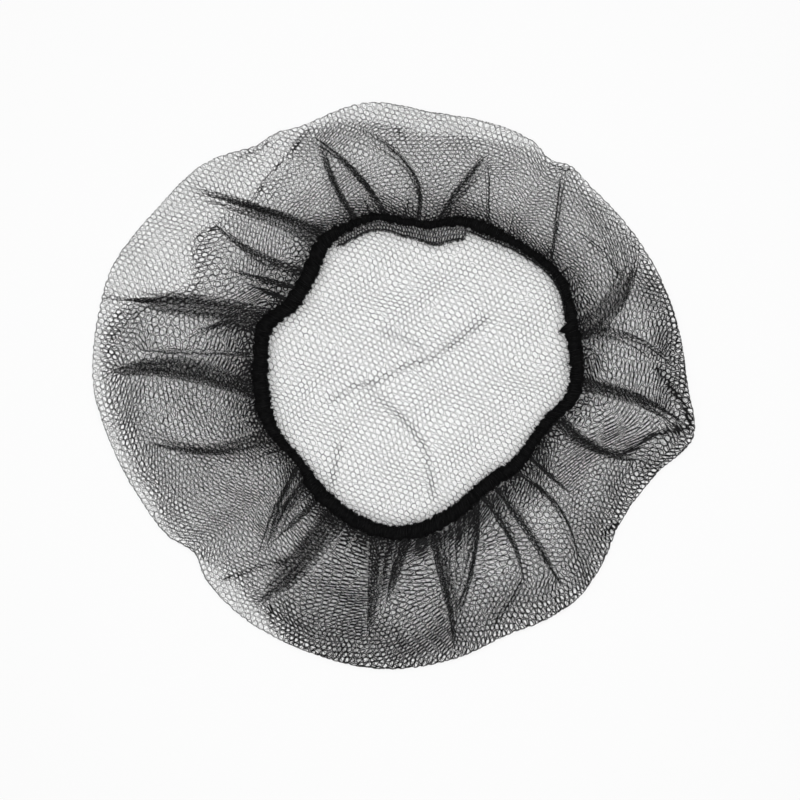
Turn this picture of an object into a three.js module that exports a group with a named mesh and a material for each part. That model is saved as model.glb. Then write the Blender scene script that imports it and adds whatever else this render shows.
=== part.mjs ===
// Disposable hairnet: a round net gathered on an elastic hem, lying crown down with its mouth up.
// Millimetres, +Z up, +X to the right and +Y to the top of the lying net.
// The origin is the middle of the footprint, on the surface that the crown lies on.
import * as THREE from "three";

// Net skin
const NET_WALL = 1;
const NET_PUFF = 3;
const SKIN_ROWS = [0.07, 0.15, 0.23, 0.31, 0.4, 0.5, 0.6, 0.7, 0.8, 0.9, 1];
const LINING_ROWS = [1, 0.75, 0.5, 0.25, 0];
const GAP_STEP_DEG = 4;

// Gathered folds
const FOLD_FOOT = 1.2;
const FOLD_SWELL = 0.8;

// Elastic hem round the mouth
const MOUTH_CENTRE = new THREE.Vector2(11.5, 5);
const HEM_HEIGHT = 15;
const HEM_WAVE = 1.2;
const HEM_WAVES_ROUND = 3;
const HEM_THICKNESS = 5;
const HEM_STATIONS = 96;
const HEM_SIDES = 8;
const HEM_BUNCH = 0.45;
const PIECE_GAP = 0.35;

// Loose flap of the hem inside the mouth
const FLAP_THICKNESS = 1;
const FLAP_DROP = 2.5;
const FLAP_STATIONS = 26;

const NET_COLOUR = 0x17171a;
const HEM_COLOUR = 0x0d0d0f;

const table = (columns, rows) =>
  rows.map((row) => Object.fromEntries(columns.map((column, i) => [column, row[i]])));

// Footprint: radius about the origin, how plump the rolled rim is, and the share of the skin that lies
// flat inside the rim before it lifts towards the hem
const OUTLINE = table(["deg", "radius", "roll", "flat"], [
  [0, 141.5, 3.2, 0.1],
  [15, 140.5, 3.2, 0.1],
  [30, 137.5, 3, 0.12],
  [45, 135.5, 2.8, 0.14],
  [51, 135.5, 2.6, 0.15],
  [55, 132, 2.4, 0.16],
  [60, 135, 2.4, 0.18],
  [67, 135.5, 2.4, 0.22],
  [82, 133, 2.3, 0.25],
  [95, 137, 2.2, 0.2],
  [109, 132.5, 2.1, 0.12],
  [115, 133.5, 2, 0.2],
  [120, 132.5, 2, 0.3],
  [130, 139.5, 1.9, 0.42],
  [145, 142, 1.9, 0.38],
  [157, 147, 2, 0.4],
  [166, 146.3, 2.1, 0.16],
  [180, 144.5, 2.3, 0.12],
  [192, 138.5, 2.6, 0.1],
  [205, 133, 2.9, 0.1],
  [214, 130, 3, 0.12],
  [220, 125, 3, 0.18],
  [226, 129.5, 3.2, 0.24],
  [238, 133, 3.5, 0.2],
  [252, 135, 3.6, 0.1],
  [268, 137, 3.7, 0.12],
  [284, 134.5, 3.6, 0.18],
  [294, 132, 3.5, 0.16],
  [303, 134.5, 3.5, 0.12],
  [311, 135.5, 3.5, 0.1],
  [320, 132, 3.3, 0.1],
  [327, 128, 3.1, 0.1],
  [334, 128.5, 3, 0.1],
  [342, 136, 2.8, 0.1],
  [350, 146.3, 2.6, 0.1],
]);

// Hem: middle radius about the mouth's centre, and the width of the bunched cloth
const HEM = table(["deg", "radius", "width"], [
  [0, 77.5, 8],
  [15, 78, 8.5],
  [25, 81, 6],
  [35, 83, 5.5],
  [45, 81, 5],
  [55, 79, 5.5],
  [65, 78, 7],
  [75, 77, 6],
  [85, 73, 4.5],
  [95, 74.5, 4.5],
  [105, 79, 4.5],
  [115, 79, 5],
  [125, 79, 8],
  [135, 72.5, 9.5],
  [145, 69.5, 9.5],
  [153, 71, 9.5],
  [162, 77.5, 9],
  [172, 77, 8],
  [185, 76.5, 9],
  [198, 76, 7.5],
  [208, 73, 5],
  [216, 71, 4.5],
  [226, 73.5, 8],
  [238, 75.5, 8.5],
  [252, 77.5, 8],
  [262, 77.5, 8.5],
  [272, 75, 9.5],
  [284, 70, 9.5],
  [296, 65, 9],
  [306, 63.5, 8.5],
  [318, 65, 8],
  [332, 65.5, 6.5],
  [342, 68.5, 8],
  [351, 75.5, 9],
]);

// Folds: where each leaves the hem and where it dies out, as angles, how far its middle bows aside,
// how near the rim its tip comes (0 at the rim, 1 at the hem), its height and which way it leans
const FOLDS = table(["hem_deg", "tip_deg", "bow_deg", "tip", "rise", "lean_deg"], [
  [13, 4, 2, 0.11, 4.5, -40],
  [20, 28.5, -2.3, 0.13, 6, 40],
  [37.5, 51.5, 4, 0.06, 2.2, -30],
  [66, 68.3, 0, 0.35, 3, -35],
  [80, 70.7, -1.5, 0.31, 5, 40],
  [89, 99, -4.5, 0.18, 3, 35],
  [101, 108.5, 0, 0.08, 3.2, -35],
  [113, 110.8, 0, 0.3, 3, 35],
  [124, 135.5, 0.5, 0.18, 5.5, -45],
  [139, 140, 1.5, 0.41, 4, 40],
  [146, 149, 0, 0.6, 2, 30],
  [158, 163, 0, 0.06, 6.5, 45],
  [165.5, 168, -1.5, 0.69, 2, 30],
  [172.5, 173, 0, 0.31, 2, -30],
  [183.5, 177.5, -3.3, 0.11, 5.5, -40],
  [203, 192, 3.5, 0.24, 6, 45],
  [219, 227.5, 0, 0.42, 4, -40],
  [226, 231, 0, 0.52, 4, 40],
  [241, 238, 0, 0.16, 6.5, -45],
  [259, 262, -1.7, 0.28, 4, -40],
  [267, 265.3, 0, 0.6, 4, 40],
  [276, 282, 2, 0.09, 3.2, 35],
  [291.5, 284.6, 0, 0.55, 3, -35],
  [297.5, 302, 2, 0.34, 4, 40],
  [306, 309, 1.2, 0.22, 4, 40],
  [316, 316, 2.4, 0.2, 4, -40],
  [323, 325.5, 0, 0.56, 3, 35],
  [338, 348.5, -3, 0.1, 5, -40],
  [356, 352, 2.3, 0.23, 5.5, 40],
]);

// Flap: how far it reaches in from the hem
const FLAP = table(["deg", "reach"], [
  [71, 2.5],
  [76, 8],
  [81, 9.5],
  [90, 7],
  [102, 5.5],
  [113, 5],
  [122, 2],
]);

const radians = THREE.MathUtils.degToRad;
const turned = (deg) => new THREE.Vector2(Math.cos(radians(deg)), Math.sin(radians(deg)));

// Value of a column between two rows, on a cubic that takes its slopes from the rows beyond them
function eased(before, low, high, after, column, deg) {
  const span = high.deg - low.deg;
  const share = (deg - low.deg) / span;
  const slopeLow = ((high[column] - before[column]) / (high.deg - before.deg)) * span;
  const slopeHigh = ((after[column] - low[column]) / (after.deg - low.deg)) * span;
  const bend = 3 * (high[column] - low[column]) - 2 * slopeLow - slopeHigh;
  const twist = slopeLow + slopeHigh - 2 * (high[column] - low[column]);
  return low[column] + share * (slopeLow + share * (bend + share * twist));
}

// Value of a column at any angle of a table that runs all the way round
function around(rows, column, deg) {
  const turn = THREE.MathUtils.euclideanModulo(deg, 360);
  const low = rows.findLastIndex((row) => row.deg <= turn);
  const row = (index) => {
    const wrapped = rows[THREE.MathUtils.euclideanModulo(index, rows.length)];
    return { ...wrapped, deg: wrapped.deg + 360 * Math.floor(index / rows.length) };
  };
  return eased(row(low - 1), row(low), row(low + 1), row(low + 2), column, turn);
}

// Value of a column on a straight run between the rows of an open table
function along(rows, column, deg) {
  const last = rows.length - 2;
  const low = Math.min(last, Math.max(0, rows.findLastIndex((row) => row.deg <= deg)));
  const share = (deg - rows[low].deg) / (rows[low + 1].deg - rows[low].deg);
  return THREE.MathUtils.lerp(rows[low][column], rows[low + 1][column], share);
}

// Closed body from rings of equal length: each ring is joined to the next, then both ends are closed
// by a fan to a middle point, or the last ring is joined to the first where no middles are given
function bodyOfRings(rings, middles) {
  const count = rings[0].length;
  const points = rings.flat();
  const faces = [];
  const joins = middles ? rings.length - 1 : rings.length;
  for (let r = 0; r < joins; r += 1) {
    const here = r * count;
    const next = ((r + 1) % rings.length) * count;
    for (let i = 0; i < count; i += 1) {
      const j = (i + 1) % count;
      faces.push(here + i, here + j, next + j, here + i, next + j, next + i);
    }
  }
  if (middles) {
    const lastRing = (rings.length - 1) * count;
    const first = points.push(middles[0]) - 1;
    const last = points.push(middles[1]) - 1;
    for (let i = 0; i < count; i += 1) {
      const j = (i + 1) % count;
      faces.push(first, j, i, last, lastRing + i, lastRing + j);
    }
  }
  const geometry = new THREE.BufferGeometry().setFromPoints(points);
  geometry.setIndex(faces);
  geometry.computeVertexNormals();
  return geometry;
}

function piece(name, geometry, colour, roughness) {
  const material = new THREE.MeshStandardMaterial({ color: colour, roughness, metalness: 0 });
  const mesh = new THREE.Mesh(geometry, material);
  mesh.name = name;
  return mesh;
}

const hemHeight = (deg) => HEM_HEIGHT + HEM_WAVE * Math.sin(radians(HEM_WAVES_ROUND * deg));

// A point at a radius about the mouth's centre
function mouthPoint(deg, radius, height) {
  const plan = turned(deg).multiplyScalar(radius).add(MOUTH_CENTRE);
  return new THREE.Vector3(plan.x, plan.y, height);
}

// A point on the rim's roll: turn 0 is the outermost line, -90 the underside and 90 the top
function rollPoint(deg, turn, inset) {
  const roll = around(OUTLINE, "roll", deg);
  const section = turned(turn).multiplyScalar(roll - inset);
  const plan = turned(deg).multiplyScalar(around(OUTLINE, "radius", deg) - roll + section.x);
  return new THREE.Vector3(plan.x, plan.y, roll + section.y);
}

// Middle of the skin between the top of the roll (share 0) and the hem (share 1)
function skinPoint(deg, share) {
  const rim = rollPoint(deg, 90, NET_WALL / 2);
  const hemEdge = around(HEM, "radius", deg) + around(HEM, "width", deg) / 2 + PIECE_GAP;
  const hem = mouthPoint(deg, hemEdge, hemHeight(deg));
  const point = rim.clone().lerp(hem, share);
  const flat = around(OUTLINE, "flat", deg);
  const lifted = Math.max(0, (share - flat) / (1 - flat));
  const climb = THREE.MathUtils.smoothstep(lifted, 0, 1);
  point.z = THREE.MathUtils.lerp(rim.z, hem.z, climb) + NET_PUFF * Math.sin(Math.PI * lifted);
  return point;
}

// How far along a fold a share of the skin lies: 0 up to its tip, 1 at the hem
const foldRun = (fold, share) => Math.max(0, (share - fold.tip) / (1 - fold.tip));

function foldAngle(fold, share) {
  const run = foldRun(fold, share);
  return THREE.MathUtils.lerp(fold.tip_deg, fold.hem_deg, run) + fold.bow_deg * 4 * run * (1 - run);
}

// Columns of the skin at one share: foot, crest and foot of every fold, with even steps between folds
function columnsAt(share) {
  const columns = [];
  FOLDS.forEach((fold, index) => {
    const angle = foldAngle(fold, share);
    const reach = skinPoint(angle, share).setZ(0).length();
    const foot = THREE.MathUtils.radToDeg(FOLD_FOOT / reach);
    const run = foldRun(fold, share);
    const rise = fold.rise * Math.sin(Math.PI * FOLD_SWELL * run);
    const lean = radians(fold.lean_deg) * (1 - run ** 3);
    const aside = THREE.MathUtils.radToDeg((rise * Math.sin(lean)) / reach);
    columns.push({ deg: angle - foot, lift: 0, base: angle - foot });
    columns.push({ deg: angle + aside, lift: rise * Math.cos(lean), base: angle });
    columns.push({ deg: angle + foot, lift: 0, base: angle + foot });

    const next = FOLDS[(index + 1) % FOLDS.length];
    const wrap = index + 1 === FOLDS.length ? 360 : 0;
    const widest = Math.max(next.hem_deg - fold.hem_deg, next.tip_deg - fold.tip_deg) + wrap;
    const steps = Math.max(2, Math.round(widest / GAP_STEP_DEG));
    const nextFoot = foldAngle(next, share) + wrap - foot;
    for (let step = 1; step < steps; step += 1) {
      const deg = THREE.MathUtils.lerp(angle + foot, nextFoot, step / steps);
      columns.push({ deg, lift: 0, base: deg });
    }
  });
  return columns;
}

// Net: flat crown, rolled rim and the gathered skin that rises to the hem, as one open hollow wall
function netCap() {
  const raised = (point, height) => point.setZ(point.z + height);
  const rimColumns = columnsAt(0);
  const rolled = (turn, inset) => rimColumns.map((column) => rollPoint(column.base, turn, inset));
  const skin = (share) =>
    columnsAt(share).map((column) => raised(skinPoint(column.deg, share), NET_WALL / 2 + column.lift));
  const lining = (share) =>
    columnsAt(share).map((column) => raised(skinPoint(column.base, share), -NET_WALL / 2));
  const rings = [
    ...[-90, -45, 0, 45, 90].map((turn) => rolled(turn, 0)),
    ...SKIN_ROWS.map(skin),
    ...LINING_ROWS.map(lining),
    ...[0, -90].map((turn) => rolled(turn, NET_WALL)),
  ];
  const middles = [new THREE.Vector3(0, 0, 0), new THREE.Vector3(0, 0, NET_WALL)];
  return piece("net_cap", bodyOfRings(rings, middles), NET_COLOUR, 0.8);
}

// Hem: a bunched ring of elastic and cloth, with every second station drawn in by the gathers
function elasticHem() {
  const rings = [];
  for (let side = 0; side < HEM_SIDES; side += 1) {
    const section = turned((360 * (side + 0.5)) / HEM_SIDES).divideScalar(Math.cos(Math.PI / HEM_SIDES));
    const ring = [];
    for (let station = 0; station < HEM_STATIONS; station += 1) {
      const deg = (360 * station) / HEM_STATIONS;
      const drawnIn = station % 2 === 0 ? 0 : HEM_BUNCH;
      const across = (around(HEM, "width", deg) / 2 - drawnIn) * section.x;
      const up = (HEM_THICKNESS / 2 - drawnIn) * section.y;
      ring.push(mouthPoint(deg, around(HEM, "radius", deg) + across, hemHeight(deg) + up));
    }
    rings.push(ring);
  }
  return piece("elastic_hem", bodyOfRings(rings), HEM_COLOUR, 0.75);
}

// Flap: a strip of the hem's cloth that hangs loose inside the top of the mouth
function hemFlap() {
  const sections = [];
  const first = FLAP[0].deg;
  const last = FLAP[FLAP.length - 1].deg;
  for (let station = 0; station < FLAP_STATIONS; station += 1) {
    const deg = THREE.MathUtils.lerp(first, last, station / (FLAP_STATIONS - 1));
    const outer = around(HEM, "radius", deg) - around(HEM, "width", deg) / 2 - PIECE_GAP;
    const inner = outer - along(FLAP, "reach", deg);
    const top = hemHeight(deg) + FLAP_THICKNESS / 2;
    sections.push([
      mouthPoint(deg, inner, top - FLAP_DROP),
      mouthPoint(deg, outer, top),
      mouthPoint(deg, outer, top - FLAP_THICKNESS),
      mouthPoint(deg, inner, top - FLAP_DROP - FLAP_THICKNESS),
    ]);
  }
  const middles = [sections[0], sections[FLAP_STATIONS - 1]].map((section) =>
    section.reduce((sum, point) => sum.addScaledVector(point, 1 / section.length), new THREE.Vector3()));
  return piece("hem_flap", bodyOfRings(sections, middles), NET_COLOUR, 0.8);
}

const hairnet = new THREE.Group();
hairnet.add(netCap(), elasticHem(), hemFlap());

export default hairnet;
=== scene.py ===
"""Disposable hairnet lying crown down: knits the net strand by strand, gathers it on its elastic hem
and lights it on a pale floor. Lengths in the tables are millimetres in the frame of the solids."""
import math

import bpy
import numpy as np
from mathutils import Matrix


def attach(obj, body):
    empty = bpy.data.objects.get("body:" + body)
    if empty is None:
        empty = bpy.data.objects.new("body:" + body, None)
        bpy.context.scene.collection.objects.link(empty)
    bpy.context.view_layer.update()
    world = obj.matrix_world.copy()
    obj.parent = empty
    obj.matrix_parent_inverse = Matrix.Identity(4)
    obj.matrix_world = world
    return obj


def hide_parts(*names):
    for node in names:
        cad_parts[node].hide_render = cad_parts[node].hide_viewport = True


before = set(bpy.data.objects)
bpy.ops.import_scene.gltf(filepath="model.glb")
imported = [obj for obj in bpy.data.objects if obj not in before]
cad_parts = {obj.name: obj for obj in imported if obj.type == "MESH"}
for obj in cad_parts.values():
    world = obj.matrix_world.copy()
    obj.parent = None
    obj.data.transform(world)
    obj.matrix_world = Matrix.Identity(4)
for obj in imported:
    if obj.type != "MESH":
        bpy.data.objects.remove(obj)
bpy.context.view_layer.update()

bl_info = {
    "name": "Disposable Hairnet",
    "version": (1, 0, 0),
    "blender": (4, 5, 0),
    "location": "View3D > Sidebar > Hairnet",
    "description": "Knits, gathers and hems a black mesh hairnet around its packed solids",
    "category": "Object",
}

MM = 0.001
BODY = "root"

# Footprint of the lying net: angle, radius about the origin, plumpness of the rolled rim, and the
# share of the gathered skin that lies flat inside the rim before it lifts towards the hem
OUTLINE = (
    (0, 141.5, 3.2, -0.03),
    (15, 139.4, 3.2, -0.02),
    (30, 137.0, 3.0, 0.03),
    (45, 134.6, 2.8, 0.05),
    (51, 135.5, 2.6, 0.04),
    (55, 132.0, 2.4, 0.02),
    (60, 135.0, 2.4, 0.08),
    (67, 134.8, 2.4, 0.17),
    (82, 132.4, 2.3, 0.2),
    (95, 136.2, 2.2, 0.18),
    (109, 132.0, 2.1, 0.06),
    (115, 133.5, 2.0, 0.19),
    (120, 132.5, 2.0, 0.33),
    (130, 139.5, 1.9, 0.4),
    (145, 142.0, 1.9, 0.33),
    (157, 146.2, 2.0, 0.46),
    (166, 145.5, 2.1, 0.1),
    (180, 143.9, 2.3, 0.09),
    (192, 138.2, 2.6, 0.09),
    (205, 133.0, 2.9, 0.08),
    (214, 130.0, 3.0, 0.05),
    (220, 125.0, 3.0, 0.03),
    (226, 129.5, 3.2, 0.14),
    (238, 133.0, 3.5, 0.13),
    (252, 134.4, 3.6, -0.03),
    (268, 136.4, 3.7, -0.03),
    (284, 134.5, 3.6, -0.03),
    (294, 132.0, 3.5, -0.02),
    (303, 134.5, 3.5, -0.02),
    (311, 135.5, 3.5, -0.02),
    (320, 132.0, 3.3, -0.02),
    (327, 128.0, 3.1, -0.02),
    (334, 128.5, 3.0, 0.0),
    (342, 134.2, 2.8, -0.02),
    (350, 146.3, 2.6, -0.03),
)
OUTLINE_RADIUS, OUTLINE_ROLL, OUTLINE_FLAT = 1, 2, 3

# Hem: angle and middle radius about the mouth's centre, and the width of the bunched cloth
HEM = (
    (0, 77.5, 8.0),
    (15, 78.0, 8.5),
    (25, 81.0, 6.0),
    (35, 83.0, 5.5),
    (45, 81.0, 5.0),
    (55, 79.0, 5.5),
    (65, 78.0, 7.0),
    (75, 77.0, 6.0),
    (85, 73.0, 4.5),
    (95, 74.5, 4.5),
    (105, 79.0, 4.5),
    (115, 79.0, 5.0),
    (125, 78.2, 9.4),
    (135, 72.1, 10.4),
    (145, 69.5, 9.5),
    (153, 70.6, 10.2),
    (162, 77.0, 10.0),
    (172, 76.4, 9.2),
    (185, 76.0, 10.0),
    (198, 75.6, 8.4),
    (208, 73.0, 5.0),
    (216, 71.0, 4.5),
    (226, 73.5, 8.0),
    (238, 75.5, 8.5),
    (252, 77.5, 8.0),
    (262, 77.5, 8.5),
    (272, 75.0, 9.5),
    (284, 70.0, 9.5),
    (296, 65.0, 9.0),
    (306, 63.5, 8.5),
    (318, 65.0, 8.0),
    (332, 65.5, 6.5),
    (342, 68.5, 8.0),
    (351, 75.5, 9.0),
)
HEM_RADIUS, HEM_WIDTH = 1, 2
MOUTH_CENTRE = (11.5, 5.0)
HEM_CROWD = 1.4
HEM_TIGHT = 0.76
HEM_JOINT_DEG = 17.0
HEM_HEIGHT = 15.0
HEM_WAVE = 1.2
HEM_WAVES_ROUND = 3
NET_PUFF = 3.0

# Folds: angle of the fold's middle line at the hem and at its tip, sideways bow of that line, share of
# the skin where the tip lies (0 at the rim, 1 at the hem), width of each pleat, how far it leans over,
# the number of pleats that lie on each other in the fold, and the angle they spread over at the hem
FOLDS = (
    (8, 7, 0, 0.74, 3.4, -45, 4, 5),
    (13.2, 3.7, 3.1, 0.06, 4.4, -54, 4, 2.2),
    (15, 28.2, -1.8, 0.03, 6.2, 60, 6, 6),
    (39.3, 51.7, 1.2, 0.03, 3.6, -36, 3, 0.8),
    (64.6, 69.2, 0, 0.25, 3.0, 34, 3, 0.8),
    (81.8, 69.4, -1.5, 0.24, 5.0, -56, 4, 2.4),
    (90.2, 100, -7, 0.12, 3.8, 44, 4, 1.0),
    (101.2, 108.8, -0.9, 0.06, 4.4, -48, 4, 1.5),
    (111.4, 107.7, 1, 0.14, 4.2, 46, 4, 1.4),
    (124.8, 136, -0.3, 0.05, 6.2, -62, 5, 5),
    (137.8, 139.8, 2.5, 0.29, 5.0, 54, 4, 2.4),
    (144.4, 148.8, 0.4, 0.5, 4.0, 46, 4, 1.0),
    (150, 150.5, 0, 0.66, 3.8, 46, 4, 1.0),
    (158.6, 163, -0.2, 0.06, 6.6, 66, 5, 5.5),
    (164, 170.5, -2.8, 0.48, 4.6, 54, 4, 2.4),
    (173.2, 173, 0, 0.2, 3.4, -44, 3, 1.2),
    (186, 177.8, -4.2, 0.0, 7.0, -64, 6, 5),
    (201.8, 192.3, 3.2, 0.14, 6.0, 64, 4, 4.5),
    (217.5, 231.3, 0, 0.32, 4.2, -50, 4, 1.8),
    (223.7, 230.8, -1, 0.44, 4.4, 52, 4, 2.6),
    (232, 230.4, 0, 0.46, 3.8, -46, 3, 1.2),
    (240.5, 237.8, 0.6, 0.05, 6.8, -66, 6, 7.5),
    (254.8, 262.9, 1.2, 0.14, 4.8, 54, 4, 2.4),
    (261.3, 264.5, 0, 0.3, 4.0, 50, 7, 9.5),
    (267, 265.6, -0.4, 0.46, 4.4, -52, 4, 2.6),
    (275.4, 282.8, 1.7, 0.02, 5.2, 56, 5, 2.8),
    (285, 283.5, 0, 0.4, 3.2, 48, 6, 10),
    (295.6, 282.3, 0.8, 0.18, 5.2, -54, 5, 2.0),
    (297.9, 301.3, 3.1, 0.22, 4.4, 48, 4, 1.3),
    (305, 309.2, 1.3, 0.08, 4.8, 50, 4, 1.5),
    (315.2, 315.9, 4.3, 0.14, 4.0, -46, 4, 1.0),
    (323.7, 325.6, 0, 0.42, 3.8, 46, 4, 1.0),
    (343.2, 342.8, -3.1, 0.12, 5.8, -58, 6, 2.8),
    (355.8, 352, 1.9, 0.05, 6.0, 60, 6, 4),
)

# How far the yarn of the slack net springs open: angle, thickness over that of the settings
YARN_BULK = (
    (10, 1.22),
    (40, 0.94),
    (62, 0.74),
    (80, 0.9),
    (96, 0.86),
    (108, 0.84),
    (120, 0.8),
    (140, 1.0),
    (165, 1.34),
    (185, 1.26),
    (210, 1.06),
    (232, 1.0),
    (244, 1.55),
    (256, 1.7),
    (268, 1.65),
    (290, 1.45),
    (320, 1.25),
    (345, 1.25),
)

# How much thicker the skin's thread looks towards the hem and close to it, each from a share of the skin
# on, how far folds are spared that, and how much thicker it is in a narrow fold and a crease of the crown
HEM_BULK = 0.7
HEM_BULK_FROM = 0.6
HEM_GATHER = 0.5
HEM_GATHER_FROM = 0.84
FOLD_SPARED = 0.7
FOLD_BUNCH = 0.3
FOLD_LOOSE_DEG = 2.0
CROWN_CREASE_BULK = 1.0

# The same just inside the rim, most at one angle and only on a full side, one that lifts at once, and the
# share of it that the crown's edge has
RIM_BULK = 0.38
RIM_BULK_SPAN = (0.4, 0.1)
RIM_FULL_DEG = 8.0
RIM_LEAST = 0.15
RIM_SPRING = 0.2
FULL_SIDE = (0.04, -0.02)

# Shares of the skin past its flat part over which its thread springs open, and over which it lifts
TAUT_TO_SLACK = (-0.06, 0.03)
LIFT_SPAN = (0.0, 0.2)

# Pleats of a fold: how much later each outer one starts, more so on the side the fold leans to, how far
# they stray and thin out, and the shape that each swells to on its way to the hem
PLEAT_STAGGER = 0.05
LEE_STAGGER = 1.6
TIP_STRAY = 0.03
LAST_TIP = 0.9
TIP_SPREAD = 0.4
LINE_STRAY = 0.06
SIDE_THIN = 0.3
SMALL_PLEATS = 84
SMALL_STRAY = 0.35
SMALL_APART_DEG = 1.0
FOLD_DEPTH = 0.9
FOLD_SWELL = 0.84
FOLD_SKEW = 0.8
FOLD_FOOT = 0.45
FOOT_SHARE = 0.4
FOLD_ROUND = 0.1
FOLD_SAMPLES = 15
GAP_SAMPLES = 40
SKIN_LEVELS = 72
MATERIAL_STEPS = 7200

# Net between folds: how far it creeps round to where few folds take it up, and its puckers and wrinkles
EVEN_SHARE = 0.66
EVEN_SPREAD = 14.0
PUCKER_WAVES = ((67, 1.6), (83, -2.1), (96, 0.7), (109, 2.4), (74, -0.9), (121, -1.5))
PUCKER_STEP = 0.37
PUCKER_EASE = 2.5
STEEPEST_PUCKER = 1.7
STEEPEST_WRINKLE = 1.4
WRINKLE_DRIFT = 1.6
WRINKLE_FROM_RIM = (0.1, 0.4)
WRINKLE_TO_HEM = (1.0, 0.8)
CREASE_PULL = 0.62
CREASE_RIDGE = 0.5
EASE_SPAN = 75

# Bunched hem: how its gathers wander and twist, how sharp and how deep their ridges are, and how square
# the band is in section
GATHER_WANDER = 2.4
GATHER_TWIST = 0.9
RIDGE_SHARP = 0.7
RIDGE_MEAN = 0.6
BAND_SQUARE = 0.85
JOINT_HALF_DEG = 1.2
THREAD_STRAY = 0.5

# Thin creases of the gathered skin: points in plan, then how hard and how widely the net is drawn in
SKIN_CREASES = (
    (((-40.3, 122.4), (-48.5, 112.3), (-58.6, 101.3), (-66.7, 90.2)), 0.75, 1.8),
    (((-83.5, 75.8), (-90.2, 73.9), (-94.6, 70.6)), 0.75, 1.8),
    (((-94.6, 70.6), (-96, 59), (-94, 48), (-92.6, 40.8)), 0.36, 2.2),
    (((-139.2, 42.2), (-115.2, 39.8)), 0.6, 1.8),
    (((-113.8, 38.9), (-121.9, 34.6), (-129.1, 29.3), (-134.4, 21.1), (-137.3, 13.9), (-138.7, 4.3)),
     0.28, 2.6),
    (((-138.7, 4.3), (-135.8, -10.6), (-133, -23), (-127.7, -34.1)), 0.34, 2.4),
    (((76.8, 105.6), (83, 102.8), (85.9, 104.2)), 0.7, 1.6),
    (((90.2, 72), (102.2, 61.9), (108, 52.8)), 0.7, 1.8),
    (((126.2, 8.2), (139.7, -10.1), (143, -18.7)), 0.95, 1.8),
    (((110.4, -32.2), (116, -30.2), (122.4, -24.5), (133, -21.6), (143.5, -20.2)), 0.95, 2.0),
    (((-81.6, -93.1), (-73, -90.7), (-65.8, -87.4), (-51.4, -83.5)), 0.7, 1.8),
    (((-58.6, -106.6), (-58.1, -116.6)), 0.7, 1.6),
    (((0, -115.2), (6.2, -127.7)), 0.4, 1.6),
    (((61.9, -93.1), (56.2, -104.2), (49, -113.8)), 0.5, 1.8),
    (((32.2, -67.7), (32.2, -77.3)), 0.7, 1.6),
    (((1.4, 123.8), (5.8, 118.1)), 0.6, 1.6),
    (((7.2, 86.4), (5.8, 80.6)), 0.7, 1.6),
    (((108.5, -66.7), (103.5, -69), (101.3, -71)), 0.7, 1.6),
    (((-97.9, -77.8), (-85, -86.4)), 0.7, 1.6),
    (((-73.4, 109), (-62.4, 113.8), (-60, 116.6)), 0.7, 1.4),
)

# Creases that packing left in the crown, in the same form
CROWN_CREASES = (
    (((-26, -30), (-29.3, -46.6)), 0.55, 2.8),
    (((14.9, -27.8), (19.2, -53.3)), 0.55, 2.8),
    (((3.4, -14.4), (13, -26.4), (14.9, -27.8)), 0.48, 3.0),
    (((-29.4, -7.2), (-18.2, -0.8), (-10.2, 0.8), (5.8, 8.8), (20.2, 13.6), (44.2, 31.2)), 0.5, 3.2),
    (((-13, 0.5), (3.8, -15.8)), 0.3, 3.4),
    (((12.5, 18.2), (-4, 26)), 0.36, 3.8),
)

# Flaps of the hem inside the mouth: angle, reach inwards from the hem
FLAP = (
    (70.8, 5.6),
    (72.5, 6.6),
    (76, 8.3),
    (80, 9.0),
    (85, 7.4),
    (90.4, 5.9),
    (102, 5.0),
    (113, 4.5),
    (119.6, 4.1),
    (122, 2.5),
)
LIP = (
    (22, 0.4),
    (32, 0.9),
    (44, 1.3),
    (56, 1.6),
    (64, 2.0),
    (70, 1.5),
)

# Net of the flaps: the radius they are measured at, how they hang from the hem, how thick their thread is
# at the hem and how much more at the fold, and the ripples of their two plies
FLAP_RADIUS = 74.0
FLAP_TUCK = 1.0
FLAP_DROP = 2.5
FLAP_STRAY = 0.4
FLAP_THIN = 0.72
FLAP_FULL = 0.7
UNDER_DROP = 0.7
UNDER_TURN = 1.4
RIPPLE_LENGTH = 2.0
RIPPLE_HEIGHT = 0.8
RIPPLE_DRIFT = 3.0

# Stage, in metres apart from the camera's sensor
FLOOR_HALF = 3.0
SOFTBOX_SIZE = 1.3
SOFTBOX_HEIGHT = 2.2
SENSOR_MM = 36


def around(rows, column, deg):
    """A column's value at any angle, on a closed cubic through the table's rows."""
    table = np.array(rows, dtype=float)
    turn = np.mod(deg, 360.0)
    low = np.searchsorted(table[:, 0], turn, side="right") - 1

    def row(index):
        wrapped = np.mod(index, len(rows))
        return table[wrapped, 0] + 360.0 * np.floor_divide(index, len(rows)), table[wrapped, column]

    (a0, v0), (a1, v1), (a2, v2), (a3, v3) = (row(low + step) for step in (-1, 0, 1, 2))
    span = a2 - a1
    share = (turn - a1) / span
    slope1 = (v2 - v0) / (a2 - a0) * span
    slope2 = (v3 - v1) / (a3 - a1) * span
    bend = 3 * (v2 - v1) - 2 * slope1 - slope2
    twist = slope1 + slope2 - 2 * (v2 - v1)
    return v1 + share * (slope1 + share * (bend + share * twist))


def smooth(share):
    """Eased step from 0 to 1."""
    share = np.clip(share, 0.0, 1.0)
    return share * share * (3 - 2 * share)


def ramp(value, start, end):
    """Eased step that is 0 at the start and 1 at the end."""
    return smooth((value - start) / (end - start))


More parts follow.
